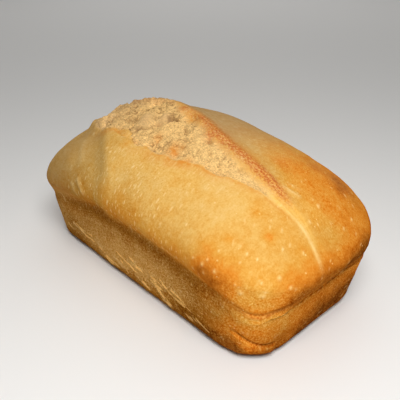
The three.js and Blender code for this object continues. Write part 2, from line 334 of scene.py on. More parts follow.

# Layers of tone: an amount, then the spans that limit it. A span has a measure, where it starts and where it
# is full. The measures are x, y, z, height above the groove, the same less the rise at the near end, distance
# behind the ear, and the share of the way up the base that is painted darker as contact shadow
CORNER = (("x", 72, 108), ("y", -32, -50))
NEAR_END = (("x", 72, 108), ("y", -50, -32))
NEAR_END_RISE = 7
NEAR_END_RISE_AT = (-14, 28)
CROWN_BAKE = (
    (0.1,),
    (0.08, ("x", -90, -5)),
    (0.12, ("x", 60, 110)),
    (0.06, ("behind", 3, 30)),
    (0.22, ("behind", 3, 30), ("x", 5, 78)),
    (0.43, ("x", 108, 72), ("above", 37, -4)),
    (0.1, *CORNER, ("above", 30, 2)),
    (0.32, *CORNER, ("above", 30, 2), ("y", -58, -40)),
    # Painted shade on the crown just above the crease at the near corner
    (0.28, *CORNER, ("above", 7, -3)),
    (0.6, *NEAR_END, ("above_rise", 27, 6)),
    (-0.1, *NEAR_END, ("above_rise", 27, 6), ("y", -6, 14)),
    # Painted shadow in a strip just behind the ear
    (0.26, ("x", 8, 36), ("x", 85, 60), ("behind", -1, 1.5), ("behind", 12, 3)),
)
# Painted shade under the overhang: the long walls are painted darker below the groove, less so towards the
# far end
VALLEY = (("above", 4, -3), ("above", -13, -6))
WALL_OVERHANG_SHADE = ((0.24, *VALLEY), (-0.1, *VALLEY, ("x", -40, 40)), (0.42, ("above", -32, -4)))
WALL_FAR = ((0.5,), (0.5, ("x", -92, -50)))
# Painted contact shadow: the long walls are painted darker towards the base, higher and stronger towards the
# near end
BASE_FOOT = 4
BASE_TOP = ((15,), (15, ("x", -20, 70)))
BASE_CONTACT_SHADOW = ((0.75, ("base", 1, 0)), (0.2, ("base", 1, 0), ("x", 30, 70)))
NEAR_WALL = (("x", 70, 104),)
NEAR_WALL_BAKE = (
    (0.46,),
    (0.34, ("above", -4, -36)),
    (0.24, ("y", -45, 0)),
    # Painted contact shadow along the base of the near wall
    (0.2, ("z", 9, 1)),
    (0.12, ("y", 8, 38), ("above", -6, -24)),
    (0.35, ("z", 22, 6), ("x", 111, 103)),
)

# The far front of the crown and the stretch behind the ear are darker, as painted shade, and duller, the far
# end less so
FAR_END = (("x", -92, -126), ("y", -58, -12))
FAR_CORNER = (("x", -30, -90), ("y", -14, 34))
FAR_END_BAKE = 0.2
# Painted shade: factors on the far front's colour, weaker at the far end
FAR_END_SHADE = 0.97
FAR_SHADE = 0.81
FAR_SHADE_END = (("x", -100, 0),)
FAR_DULL = ((0.3, ("x", -35, -80)),)
BEHIND_EAR = (("x", -80, -25), ("y", 62, 36), ("z", 46, 70))
# Painted shade just behind the ear, weaker towards the near end
BACK_SHADE = (
    (0.26, *BEHIND_EAR, ("behind", -1, 2)),
    (-0.195, *BEHIND_EAR, ("behind", -1, 2), ("x", 18, 95)),
)
# Behind the ear the crust is painted greyer, a painted shade and reflection
BACK_DULL = ((0.7, *BEHIND_EAR, ("behind", -2, 5), ("x", 88, 16)),)
# Painted shade beyond the soft fold
DRAPE_SHADE = 0.18
DRAPE_SHADE_EDGE = (-7, 3)

# Fine grain of the crust, and how many blisters, flecks and dashes there are
CROWN_GRAIN = ((1,), (-0.4, ("x", 10, 80)))
WALL_GRAIN = (1.9, 2.1)
BACK_GRAIN = 1.0
BACK_GRAIN_EDGE = (("behind", 1, 8),)
END_GRAIN = 1.8
END_GRAIN_EDGE = (("x", 85, 105), ("above", 22, 8))
BLISTERS_NEAR = ((0.25,), (1.2, ("x", 40, 100)), (3.5, ("x", 70, 95), ("y", -18, 0)))
FLECK_CROWN = ((1,), (-0.6, ("above", 14, 40)), (0.4, ("above", 14, 40), ("x", 40, 90)))
FLECK_FAR = ((1,), (-0.8, ("above", 4, 22), ("x", -45, -75)))
FLECK_WALL = 0.1
DASH_END = (("x", 90, 35),)

# Painted light and shade: places painted brighter or darker, then dull places: middle, radius, how much
LIGHT_AND_SHADE_SPOTS = (
    (-73.5, -43.5, 91, 8, -0.15), (-64, -66, 43, 13, 0.16), (91, -64, 29, 7, -0.17),
    (92, -11, 87.5, 8, 0.07), (115, -54, 54, 15, 0.14), (115, -55, 29, 8, 0.15),
    (110, -55.5, 10.5, 5, 0.25), (119, -37, 14, 9, -0.3), (115.5, -45, 8, 5, -0.2),
    (77, 38.5, 91, 9, -0.13), (90, 47.5, 82, 10, -0.11), (99, 48.5, 77, 9, -0.09),
    (108, 48, 71, 7, -0.12), (-60.5, -61, 81, 7, 0.13), (-59.5, -35, 98.5, 5, 0.34),
    (-47, 5, 112, 6, 0.42), (-35.5, -20, 108, 5, 0.36), (-16, -16.5, 106.5, 3, 0.3),
    (-43, 3, 111, 6, 0.15), (106, -61, 38, 6, -0.12), (123, 36.5, 43, 8, 0.26), (104, -1, 79, 11, 0.13),
    (88, 3, 90, 7, 0.06), (123, -38, 40, 6, 0.2), (-82, -66, 39, 9, 0.14), (-22.5, -15.5, 109.5, 3, -0.2),
    (-67, -30, 104, 6, 0.25),
)
DULL_SPOTS = (
    (-73.5, -43.5, 91, 9, 0.45), (78, 39, 90, 9, 0.14), (90, 47.5, 82, 11, 0.1), (99, 48.5, 77, 10, 0.08),
)
DULL_SPOT_MOST = 0.5

# Mesh steps: columns of each quarter's end and corner, then rows of each stretch of the profile
SIDE_COLUMNS = 84
QUARTERS = (((1, 1), 12, 40), ((-1, 1), 10, 30), ((-1, -1), 10, 46), ((1, -1), 18, 70))
ROUNDING_ROWS = 9
WALL_ROWS = 34
WALL_ROW_POWER = 1.2
OVERHANG_ROWS = 24
FLANK_ROWS = 30
TOP_ROWS = 70
FLANK_SHARE = 0.32


# Helpers

def ramp(value, start, end):
    share = np.clip((value - start) / (end - start), 0, 1)
    return share * share * (3 - 2 * share)


def hump(distance, width):
    return np.exp(-((distance / width) ** 2))


def peak(value, middle, width):
    return hump(value - middle, width)


def mix(a, b, share):
    return a + (b - a) * share


def fall(value, start, end):
    return 1 - ramp(value, start, end)


def window(value, start, full, fade, end):
    """Rises from start to full and falls from fade to end."""
    return ramp(value, start, full) * fall(value, fade, end)


def graded(grade, value):
    """From the first of a grade's two values to the second, across the span that it ends with."""
    first, last, *span = grade
    return mix(first, last, ramp(value, *span))


def placed(name, data):
    """A new object of the scene."""
    thing = bpy.data.objects.new(name, data)
    bpy.context.scene.collection.objects.link(thing)
    return thing


def aim(thing, place, direction):
    thing.location = place
    thing.rotation_mode = "QUATERNION"
    thing.rotation_quaternion = direction.to_track_quat("-Z", "Y")


def new_material(name):
    """A new material and its shader."""
    material = bpy.data.materials.new(name)
    material.use_nodes = True
    return material, material.node_tree.nodes["Principled BSDF"]


# Seeded smooth noise between -1 and 1, the same as the part's

def lattice_value(i, j, k):
    s = np.sin(i * HASH[0] + j * HASH[1] + k * HASH[2]) * HASH_SCALE
    return 2 * (s - np.floor(s)) - 1


def noise(x, y, z):
    x, y, z = np.broadcast_arrays(x, y, z)
    cell = [np.floor(v) for v in (x, y, z)]
    part = [v - c for v, c in zip((x, y, z), cell)]
    fade = [p ** 3 * (p * (p * 6 - 15) + 10) for p in part]
    total = np.zeros(x.shape)
    for di in (0, 1):
        for dj in (0, 1):
            for dk in (0, 1):
                weight = 1
                for step, f in zip((di, dj, dk), fade):
                    weight = weight * (f if step else 1 - f)
                total += weight * lattice_value(cell[0] + di, cell[1] + dj, cell[2] + dk)
    return total


def layered_noise(layers, seed, x, y, z):
    total = 0
    for size, depth in layers:
        total = total + depth * noise(x / size + seed, y / size, z / size)
    return total


def layered_ridges(layers, seed, x, y):
    total = 0
    for size, depth in layers:
        total = total + depth * (1 - CRUMB_RIDGE_SHARPNESS * abs(noise(x / size + seed, y / size, 0)))
    return total


def scattered_distance(x, y, size, seed):
    """Distance to the nearest of a field of scattered points, one in each square cell."""
    u = x / size
    v = y / size
    i = np.floor(u)
    j = np.floor(v)
    nearest = np.full(np.shape(u), np.inf)
    for di in (-1, 0, 1):
        for dj in (-1, 0, 1):
            px = i + di + 0.5 + CRUMB_PORE_SHIFT * lattice_value(i + di, j + dj, seed)
            py = j + dj + 0.5 + CRUMB_PORE_SHIFT * lattice_value(i + di, j + dj, seed + 1)
            nearest = np.minimum(nearest, np.hypot(px - u, py - v))
    return nearest * size


# Columns round the outline, as along, across and the outward direction

def quarter_columns(end_count, corner_count):
    columns = [(1, n / end_count, 0) for n in range(end_count)]
    columns += [(1, 1, RIGHT_ANGLE * n / corner_count) for n in range(corner_count)]
    columns += [(1 - n / SIDE_COLUMNS, 1, RIGHT_ANGLE) for n in range(SIDE_COLUMNS + 1)]
    return columns


def loop_columns():
    loop = []
    for (sign_x, sign_y), end_count, corner_count in QUARTERS:
        columns = quarter_columns(end_count, corner_count)
        columns = columns[:-1] if sign_x == sign_y else columns[:0:-1]
        for along, across, angle in columns:
            loop.append((sign_x * along, sign_y * across, sign_x * math.cos(angle), sign_y * math.sin(angle)))
    return np.array(loop).T


ALONG, ACROSS, NORMAL_X, NORMAL_Y = loop_columns()
CORNER_AWAY = np.hypot(NORMAL_X - NEAR_CORNER[0], NORMAL_Y - NEAR_CORNER[1])
CORNER_TURN = np.minimum(abs(ALONG), abs(ACROSS)) ** 2
CORNER_SHARE = hump(CORNER_AWAY, GROOVE_DIP_SPREAD) * CORNER_TURN
BEAD_REACH = np.where(NORMAL_X < NEAR_CORNER[0], BEAD_FRONT_SPREAD, BEAD_SPREAD)
BEAD_SHARE = hump(CORNER_AWAY, BEAD_REACH) * CORNER_TURN
END_SHARE = peak(NORMAL_Y, *GROOVE_END) * ramp(NORMAL_X, *GROOVE_END_FACING)


def outline(values):
    half_length, half_width, corner, shift_x, shift_y = values
    x = shift_x + ALONG * (half_length - corner) + NORMAL_X * corner
    y = shift_y + ACROSS * (half_width - corner) + NORMAL_Y * corner
    return x, y


def inset(values, depth):
    return values - np.array([depth, depth, depth, 0, 0])


RIM_X = outline(RIM)[0]
FRONT_SHARE = peak(RIM_X, *GROOVE_FRONT) * (NORMAL_Y < 0)
SHADE_SHIFT = np.maximum(BEAD_SHARE, ramp(RIM_X, *SHADE_SHIFT_AT) * (NORMAL_Y < 0))


def crown_edge(share):
    x, y = outline([mix(a, b, share) for a, b in zip(RIM, CROWN)])
    u = x / CROWN_HALF_LENGTH
    v = y / CROWN_HALF_WIDTH
    sideways = np.cos(RIGHT_ANGLE * np.clip(u, -1, 1)) ** 2 * v ** 3
    endways = np.cos(RIGHT_ANGLE * np.clip(v, -1, 1)) ** 2 * u ** 3
    return x + CROWN_END_BOW * share * endways, y + CROWN_SIDE_BOW * share * sideways


def height_along(values, x, half_length):
    u = (x - TIN_X) / half_length
    return values[0] + values[1] * u + values[2] * u * u


def groove_height(x):
    straight = height_along(GROOVE_HEIGHT, x, RIM_HALF_LENGTH)
    return straight - GROOVE_DIP * CORNER_SHARE + GROOVE_END_RISE * END_SHARE


def widest_height(x):
    return height_along(WIDEST_HEIGHT, x, RIM_HALF_LENGTH)


def top_height(x):
    return height_along(TOP_HEIGHT, x, CROWN_HALF_LENGTH)


# The torn score

def lip_line(x):
    reach = np.minimum(((x - LIP["middle"]) / LIP["span"]) ** 2, 1)
    end = LIP["end_rise"] * ramp(x, *LIP["end"]) - graded(LIP_END_DROP, x)
    return LIP["reach"] + LIP["rise"] * reach + end


def ear_line(x):
    far = EAR["far_drop"] * fall(x, *EAR["far"])
    swing = EAR["swing"] * ramp(x, *EAR["swing_at"])
    return EAR["y"] - far - swing - graded(EAR_END, x)


def ear_height(x):
    middle = EAR_HEIGHT["middle"] * fall(x, *EAR_MIDDLE)
    far = EAR_HEIGHT["far"] * fall(x, *EAR_FAR)
    return (EAR_HEIGHT["near"] + middle + far) * fall(x, *EAR_FADE)


def lip_height(x):
    tip = LIP_ROLL["tip_height"] * fall(x, *LIP_ROLL["fade"])
    return (LIP_ROLL["height"] + tip) * ramp(x, *LIP_ROLL["tip"])


def pocket_depth(x, y):
    total = 0
    for middle_x, middle_y, half_length, half_width, degrees, depth in POCKETS:
        c = math.cos(math.radians(degrees))
        s = math.sin(math.radians(degrees))
        along = (x - middle_x) * c + (y - middle_y) * s
        across = (y - middle_y) * c - (x - middle_x) * s
        total = total + depth * fall(np.hypot(along / half_length, across / half_width), *POCKET_EDGE)
    return total


def crumb_relief(x, y):
    """Ridges, grain and pores of the torn crumb, finer towards the near end."""
    coarse = graded(CRUMB_COARSE, x)
    u = x + layered_noise(CRUMB_WARP, SEED + 1, x, y, 0)
    v = y + layered_noise(CRUMB_WARP, SEED + 2, x, y, 0)
    height = coarse * layered_ridges(CRUMB_RIDGES, SEED + 3, u, v)
    height = height + layered_noise(CRUMB_GRAIN, SEED + 4, u, v, 0) - CRUMB_DROP
    pores = hump(scattered_distance(u, v, CRUMB_PORE_SPACING, SEED), CRUMB_PORE_RADIUS)
    step = window(x, *STEP_ALONG) * window(y, *STEP_ACROSS)
    return height - CRUMB_PORE_DEPTH * pores + STEP_HEIGHT * step - pocket_depth(x, y)


def plan_spots(x, y, places):
    """Sum of soft round spots in plan, each with x, y, radius and amount."""
    total = 0
    for spot_x, spot_y, radius, amount in places:
        total = total + amount * hump(np.hypot(x - spot_x, y - spot_y), radius)
    return total


def lump_skin(x, y):
    """How rough each place stays, how dull its skin is, and how deep it lies in a crevice below a lump."""
    rough = 1
    dull = 0
    crevice = 0
    for lump_x, lump_y, radius, _ in SMOOTH_LUMPS:
        away = np.hypot(x - lump_x, y - lump_y)
        skin = hump(away, SKIN_REACH * radius)
        rough = rough * (1 - SKIN_SMOOTHNESS * skin)
        dull = dull + SKIN_DULL * skin
        below = (x - lump_x) * CREVICE_SIDE[0] + (y - lump_y) * CREVICE_SIDE[1]
        shown = ramp(below, CREVICE_START * radius, radius)
        crevice = np.maximum(crevice, shown * hump(away - CREVICE_AWAY * radius, CREVICE_WIDTH))
    return rough, dull, crevice


def toast_share(x, y, ear, band):
    """How toasted each place is: a band in front of the ear, strongest at its edge, and some spots."""
    past = y - ear
    toast = ramp(past + np.maximum(band, TOAST_LEAST_BAND), *TOAST_FRONT) * fall(past, *TOAST_BACK)
    toast = toast * mix(graded(TOAST_WEAK, x), 1, ramp(past, *TOAST_STRONG))
    toast = toast * graded(TOAST_FAR, x) * ramp(x, *TEAR_START) * fall(x, *TOAST_END)
    return np.clip(toast + plan_spots(x, y, TOAST_SPOTS), 0, 1)


def glow_share(x, y, lip, crumb_start):
    """How orange each place is: along the edge of the crumb, in the lip's crease and in some spots."""
    along = sum(strength * peak(x, *place) for *place, strength in LIP_GLOWS)
    glow = along * peak(y - crumb_start, *LIP_GLOW_AT)
    crease = window(x, *LIP_CREASE_ALONG) * peak(y - lip, *LIP_CREASE_AT)
    glow = ramp(x, *TEAR_START) * (glow + LIP_CREASE_GLOW * crease)
    return np.clip(glow + plan_spots(x, y, GLOW_SPOTS), 0, 1)


def tear_relief(x, y):
    """Height of the torn score above the crown, with masks for its parts."""
    opened = ramp(x, *TEAR_START)
    torn = opened * fall(x, *TEAR_FADE)
    lip = lip_line(x) + torn * layered_noise(LIP_JITTER, SEED, x, 0, 0)
    ear = ear_line(x)
    band = graded(EAR_BAND, x) - graded(EAR_BAND_END, x)
    crumb_start = lip + CRUST_FLAP * peak(x, *CRUST_FLAP_AT)
    crumb_start = crumb_start - graded(CRUMB_TIP, x)
    crumb_end = ear - band + torn * layered_noise(EAR_JITTER, SEED + 5, x, 0, 0)
    crumb = opened * fall(x, *CRUMB_FADE) * ramp(y, crumb_start, crumb_start + CRISP_EDGE)
    crumb = crumb * fall(y, crumb_end - SOFT_EDGE, crumb_end + SOFT_EDGE)
    rough, dull, crevice = lump_skin(x, y)
    fine = crumb_relief(x, y) * rough - CREVICE_DEPTH * crevice
    share = np.clip((y - lip) / np.maximum(ear - lip, 1), 0, 1)
    stripes = np.cos(2 * math.pi * LENS_RIDGES * share)
    lens = window(x, *LENS_ALONG) * ramp(y - lip, *LENS_LIP) * fall(y - ear, *LENS_EAR)
    inside = torn * ramp(y, lip, lip + TORN_EDGE) * fall(y, ear - TORN_EDGE, ear)
    power = mix(EAR_RISE_POWER["far"], EAR_RISE_POWER["near"], ramp(x, *EAR_FAR))
    height = opened * ear_height(x) * share ** power * hump(np.maximum(y - ear, 0), EAR_BACK_WIDTH)
    height = height + lip_height(x) * hump(y - lip, LIP_ROLL["width"])
    height = height - inside * LIP_DROP * hump(y - lip - TORN_EDGE, LIP_DROP_WIDTH)
    height = height + inside * layered_noise(CRAGS, CRAG_SEED, x, y, 0)
    height = height + plan_spots(x, y, ROUGH_LUMPS + SMOOTH_LUMPS)
    height = height + crumb * fine + lens * LENS_RIDGE_HEIGHT * stripes
    edge = window(x, *PALE_EDGE_ALONG) * peak(y - lip, *PALE_EDGE_AT)
    masks = {
        "crumb": crumb,
        # Painted shade in crevices and hollows of the crumb
        "hollow_shade": crumb * np.clip(PIT_CREVICE * crevice - PIT_RELIEF * fine, 0, 1),
        "fibre": rough * graded(FIBRE_SHARE, x),
        "dull": crumb * np.clip(dull + graded(CRUMB_DULL, x), 0, CRUMB_DULL_MOST),
        "toast": toast_share(x, y, ear, band),
        "lens": lens * mix(1, stripes, LENS_STRIPE),
        "pale": graded(PALE_EDGE, x) * edge,
        "glow": glow_share(x, y, lip, crumb_start),
    }
    return height, masks


def fold_bulge(x, y, z):
    """The fold of dough at the near lower corner: a crease with a bulging flap below it, and the painted
    shade of its crease.
    """
    corner_x = BASE[3] + BASE[0] - BASE[2]
    corner_y = BASE[4] - BASE[1] + BASE[2]
    degrees = np.degrees(np.arctan2(y - corner_y, x - corner_x))
    line = np.interp(degrees, FOLD_DEGREES, FOLD_HEIGHTS)
    reach = window(degrees, *FOLD_REACH)
    flap = ramp(line - z, 0, FOLD_EDGE) * ramp(z, 0, FOLD_FOOT)
    crease = peak(z - line, *FOLD_CREASE_AT)
    return reach * (FOLD_BULGE * flap - FOLD_CREASE * crease), reach * crease


def unevenness(x, y, z):
    return layered_noise(WAVES, WAVE_SEED, x, y, z)


# Rows of the profile, from the middle of the base up to the spine. Each row has points and masks.

MASKS = ("crumb", "wall", "groove", "hollow_shade", "toast", "lens", "pale", "glow", "fibre", "dull")


class Rows:
    def __init__(self):
        self.points = []
        self.masks = {name: [] for name in MASKS}

    def add(self, x, y, z, **masks):
        self.points.append(np.stack(np.broadcast_arrays(x, y, z), axis=-1).astype(float))
        for name, rows in self.masks.items():
            rows.append(np.broadcast_to(np.asarray(masks.get(name, 0), float), np.shape(ALONG)))

    def pushed(self, x, y, z, out, **masks):
        self.add(x + NORMAL_X * out, y + NORMAL_Y * out, z, **masks)


def groove_shape(z, groove):
    """How far the groove and the bead push the surface out, with their masks: the painted shade of the groove
    and of the crease below the bead, and the paler bead.
    """
    crease = groove + CREASE_ABOVE_GROOVE * BEAD_SHARE
    width = mix(GROOVE_WIDTH, GROOVE_DIP_WIDTH, BEAD_SHARE)
    depth = GROOVE_DEPTH + GROOVE_DIP_DEPTH * CORNER_SHARE + GROOVE_FRONT_DEPTH * FRONT_SHARE
    bead = BEAD_SHARE * hump(z - groove - BEAD_ABOVE_GROOVE, BEAD_WIDTH)
    lower = BEAD_SHARE * hump(z - groove + LOWER_CREASE_BELOW, BEAD_WIDTH)
    out = BEAD_HEIGHT * bead - LOWER_CREASE_DEPTH * lower - depth * hump(z - crease, width)
    dark = hump(z - crease + mix(GROOVE_SHADE_BELOW, 0, SHADE_SHIFT), width) * mix(1, BEAD_DARK, BEAD_SHARE)
    dark = dark * (1 + GROOVE_FRONT_DARK * FRONT_SHARE) * graded(GROOVE_FAR_DARK, RIM_X)
    return out, {"groove": np.maximum(dark, LOWER_CREASE_DARK * lower), "pale": BEAD_PALE * bead}


def add_base(rows):
    contact = inset(BASE, BASE_ROUNDING)
    x, y = outline(contact)
    seam_half = contact[0] - contact[1]
    rows.add(np.clip(x, BASE[3] - seam_half, BASE[3] + seam_half), BASE[4], 0, wall=1)
    rows.add(x, y, 0, wall=1)
    for n in range(1, ROUNDING_ROWS + 1):
        turn = RIGHT_ANGLE * n / ROUNDING_ROWS
        x, y = outline(inset(BASE, BASE_ROUNDING * (1 - math.sin(turn))))
        z = BASE_ROUNDING * (1 - math.cos(turn))
        bulge, crease = fold_bulge(x, y, z)
        out = WALL_WAVE_SHARE * unevenness(x, y, z) * n / ROUNDING_ROWS + bulge
        rows.pushed(x, y, z, out, wall=1, groove=crease)


def add_wall(rows):
    for n in range(1, WALL_ROWS + 1):
        share = (n / WALL_ROWS) ** WALL_ROW_POWER
        x, y = outline(mix(BASE, RIM, share))
        groove = groove_height(x)
        z = mix(BASE_ROUNDING, groove - RIM_BELOW_GROOVE, share)
        bulge, crease = fold_bulge(x, y, z)
        notch, masks = groove_shape(z, groove)
        # The fold's crease joins the painted shade of the groove
        masks["groove"] = np.maximum(masks["groove"], crease)
        out = WALL_WAVE_SHARE * unevenness(x, y, z) + bulge + notch
        rows.pushed(x, y, z, out, wall=1, **masks)


def add_overhang(rows):
    widest_x, _ = crown_edge(1)
    groove = groove_height(widest_x)
    rim = groove - RIM_BELOW_GROOVE
    for n in range(1, OVERHANG_ROWS + 1):
        rise = n / OVERHANG_ROWS
        x, y = crown_edge(ramp(rise, 0, 1))
        z = mix(rim, widest_height(widest_x), rise)
        notch, masks = groove_shape(z, groove)
        out = mix(WALL_WAVE_SHARE, 1, rise) * unevenness(x, y, z) + notch
        soft = mix(*WALL_EDGE, BEAD_SHARE)
        rows.pushed(x, y, z, out, wall=fall(z, groove - soft, groove + soft), **masks)


def dome_turns():
    """Angles of the dome's rows: even steps up the flank, then even steps in plan over the top."""
    last = math.acos((1 - FLANK_SHARE) ** (1 / SIDE_POWER))
    flank = [last * n / FLANK_ROWS for n in range(1, FLANK_ROWS + 1)]
    plan = [mix(FLANK_SHARE, 1, n / TOP_ROWS) for n in range(1, TOP_ROWS)]
    return flank + [math.acos((1 - share) ** (1 / SIDE_POWER)) for share in plan] + [RIGHT_ANGLE]


def add_dome(rows):
    edge_x, edge_y = crown_edge(1)
    spine_x = np.clip(edge_x, TIN_X - SPINE_HALF_LENGTH, TIN_X + SPINE_HALF_LENGTH)
    for turn in dome_turns():
        level = 0 if turn == RIGHT_ANGLE else math.cos(turn)
        inward = 1 - level ** SIDE_POWER
        foot = mix(widest_height(edge_x), WIDEST_HEIGHT[0], inward)
        x = mix(edge_x, spine_x, inward)
        y = mix(edge_y, SPINE_Y, inward)
        z = mix(foot, top_height(x), math.sin(turn))
        relief, masks = tear_relief(x, y)
        wave = unevenness(x, y, z)
        rows.pushed(x, y, z + wave * math.sin(turn) + relief, wave * level, **masks)


# Detail that stands out from the finished surface

def surface_normals(points):
    grid = points.reshape(-1, len(ALONG), 3)
    round_step = np.roll(grid, -1, axis=1) - np.roll(grid, 1, axis=1)
    up_step = np.gradient(grid, axis=0)
    normals = np.cross(round_step, up_step).reshape(-1, 3)
    length = np.linalg.norm(normals, axis=1, keepdims=True)
    return np.where(length > TINY, normals / np.maximum(length, TINY), 0)


def seen_places(points, pixels):
    """Points of the surface that the camera sees at each row's pixel, the first two values of the row."""
    turn = CAMERA_FORWARD.to_track_quat("-Z", "Y").to_matrix()
    offset = points - np.array(CAMERA_PLACE) / MILLIMETRE
    across, up, back = (offset @ np.array(turn)).T
    zoom = PICTURE_SIZE * CAMERA_LENS / SENSOR_WIDTH
    column = PICTURE_SIZE / 2 - zoom * across / back
    row = PICTURE_SIZE / 2 + zoom * up / back
    hidden = np.sum(surface_normals(points) * offset, axis=1) >= 0
    column[hidden] = np.inf
    return [points[np.argmin(np.hypot(column - pixel[0], row - pixel[1]))] for pixel in pixels]


def drape_place(points):
    """How far each place lies to the near side of the soft fold, and how much the fold shows there."""
    step = DRAPE_END - DRAPE_START
    length = np.linalg.norm(step)
    offset = points[:, :2] - DRAPE_START
    along = offset @ step / length ** 2
    aside = (offset[:, 1] * step[0] - offset[:, 0] * step[1]) / length
    shown = window(along, *DRAPE_ALONG) * ramp(points[:, 2], *DRAPE_FOOT)
    return aside, shown * fall(points[:, 1], *DRAPE_TOP)


def drape_height(points):
    """A soft step down the far front flank, with a shallow valley beside it."""
    aside, shown = drape_place(points)
    valley = DRAPE_VALLEY * peak(aside, *DRAPE_VALLEY_AT)
    return DRAPE_HEIGHT * shown * (window(aside, *DRAPE_STEP) - valley)


def wrinkle_height(points):
    """Soft wrinkles along the same direction as the fold, fading out towards the near end."""
    aside, _ = drape_place(points)
    x, y, z = points.T
    waves = noise(aside / WRINKLE_SPACING, z / WRINKLE_LENGTH, SEED)
    flank = ramp(z, *WRINKLE_FOOT) * fall(y, *WRINKLE_TOP) * fall(x, *WRINKLE_FADE)
    return WRINKLE_HEIGHT * waves * flank


def behind_ear(points):
    """How far each place lies behind the ear's line, which runs straight on at the near end."""
    return points[:, 1] - ear_line(np.minimum(points[:, 0], EAR["swing_at"][1]))


def line_distance(points, start, end):
    """Distance of each point from the line between two ends."""
    step = np.subtract(end, start)
    share = np.clip((points - start) @ step / (step @ step), 0, 1)
    return np.linalg.norm(points - start - share[:, None] * step, axis=1)


def ridge_height(points):
    return sum(height * hump(line_distance(points, *ends), width) for *ends, width, height in RIDGES)


def blister_field(points, found, masks):
    """Raised blisters: the ones that stand out, and seeded small ones near the groove and at the near end."""
    rng = np.random.default_rng(SEED)
    z = found["z"]
    smooth = (1 - masks["crumb"]) * (1 - masks["lens"]) * (1 - masks["toast"]) * (z > BLISTER_FOOT)
    density = layer_sum(found, BLISTERS_NEAR) + peak(z, *BLISTER_BELT)
    density = smooth * density * mix(1, BLISTER_WALL, masks["wall"])
    chosen = rng.choice(len(points), BLISTER_COUNT, replace=False, p=density / density.sum())
    places = [(points[n], rng.uniform(*BLISTER_RADIUS), rng.uniform(*BLISTER_STRENGTH)) for n in chosen]
    places += [(place, spot[-1], 1.0) for place, spot in zip(seen_places(points, BLISTERS), BLISTERS)]
    field = np.zeros(len(points))
    for middle, radius, strength in places:
        away = np.linalg.norm((points - middle) / (1, 1, rng.uniform(*BLISTER_STRETCH)), axis=1)
        field = np.maximum(field, strength * hump(away, radius))
    for middle, (*_, radius) in zip(seen_places(points, RINGS), RINGS):
        offset = points - middle
        away = np.linalg.norm(offset, axis=1)
        part = ramp(noise(offset[:, 0] / radius, offset[:, 1] / radius, SEED), *RING_GAPS)
        field = np.maximum(field, RING_STRENGTH * part * hump(away - radius, RING_WIDTH))
    return field


# Maps of tone over the surface, painted light and shade among them

def spots(points, places):
    total = np.zeros(len(points))
    for *middle, radius, amount in places:
        total += amount * hump(np.linalg.norm(points - np.array(middle), axis=1), radius)
    return total


def measures(points):
    """What the spans of the layers refer to."""
    x, y, z = points.T
    above = z - height_along(GROOVE_HEIGHT, x, RIM_HALF_LENGTH)
    rise = NEAR_END_RISE * peak(y, *NEAR_END_RISE_AT)
    found = {"x": x, "y": y, "z": z, "above": above, "above_rise": above - rise, "behind": behind_ear(points)}
    found["base"] = (z - BASE_FOOT) / (layer_sum(found, BASE_TOP) - BASE_FOOT)
    return found


def limited(found, spans):
    share = 1
    for name, start, full in spans:
        share = share * ramp(found[name], start, full)
    return share


def layer_sum(found, layers):
    return sum(amount * limited(found, spans) for amount, *spans in layers)


def far_end_share(found):
    return np.maximum(limited(found, FAR_END), limited(found, FAR_CORNER))


def bake_and_shade_map(points, found, wall, near):
    """How strongly each place is baked, with painted shade and painted contact shadow as deeper tone. The
    walls at the near end have their own tone.
    """
    crown = layer_sum(found, CROWN_BAKE) + FAR_END_BAKE * far_end_share(found) + spots(points, BAKE_SPOTS)
    long_wall = layer_sum(found, WALL_OVERHANG_SHADE) * layer_sum(found, WALL_FAR) + layer_sum(found, BASE_CONTACT_SHADOW)
    long_wall = long_wall + spots(points, WALL_SPOTS)
    near_wall = layer_sum(found, NEAR_WALL_BAKE) + spots(points, NEAR_WALL_SPOTS)
    return np.clip(mix(crown, mix(long_wall, near_wall, near), wall), 0, MOST_BAKED)


def light_and_shade_map(points, found):
    """Painted shade: the far front and the back are darker, most of all beyond the soft fold. Spots of
    painted light and shade differ from this.
    """
    aside, shown = drape_place(points)
    beyond = shown * fall(aside, *DRAPE_SHADE_EDGE)
    far = mix(FAR_SHADE, FAR_END_SHADE, far_end_share(found))
    shade = mix(far, 1, limited(found, FAR_SHADE_END)) * (1 - DRAPE_SHADE * beyond)
    return shade * (1 - layer_sum(found, BACK_SHADE)) * (1 + spots(points, LIGHT_AND_SHADE_SPOTS))


def stroke_field(points, wall):
    """Pale strokes that stand out a little from the long walls, in a zone low on the walls."""
    rng = np.random.default_rng(SEED + 1)
    x, y, z = points.T
    starts = seen_places(points, STROKES)
    ends = seen_places(points, [stroke[2:] for stroke in STROKES])
    strokes = [(-1, 1.0, start[::2], end[::2]) for start, end in zip(starts, ends)]
    for n in range(STROKE_COUNT):
        start = np.array([rng.uniform(*STROKE_X), rng.uniform(*STROKE_Z)])
        length = rng.uniform(*STROKE_LENGTH)
        end = start + (length, length * rng.uniform(*STROKE_SLOPE))
        strokes.append((-1 if n % 2 else 1, rng.uniform(*STROKE_STRENGTH), start, end))
    field = np.zeros(len(points))
    for side, strength, start, end in strokes:
        shown = strength * hump(line_distance(points[:, ::2], start, end), STROKE_WIDTH)
        field = np.maximum(field, shown * (side * y > STROKE_SIDE))
    patches = ramp(noise(x / STROKE_PATCH_LENGTH, z / STROKE_PATCH_HEIGHT, SEED), *STROKE_PATCH_EDGE)
    zone = STROKE_ZONE_SHARE * window(z, *STROKE_ZONE) * patches
    on_side = wall * fall(abs(x), *STROKE_END)
    return np.maximum(field, zone) * on_side, field * on_side


def fleck_map(found, wall):
    """Pale flecks: most low on the crown, fewer high up and at the far end, few on the walls."""
    return mix(layer_sum(found, FLECK_CROWN) * layer_sum(found, FLECK_FAR), FLECK_WALL, wall)


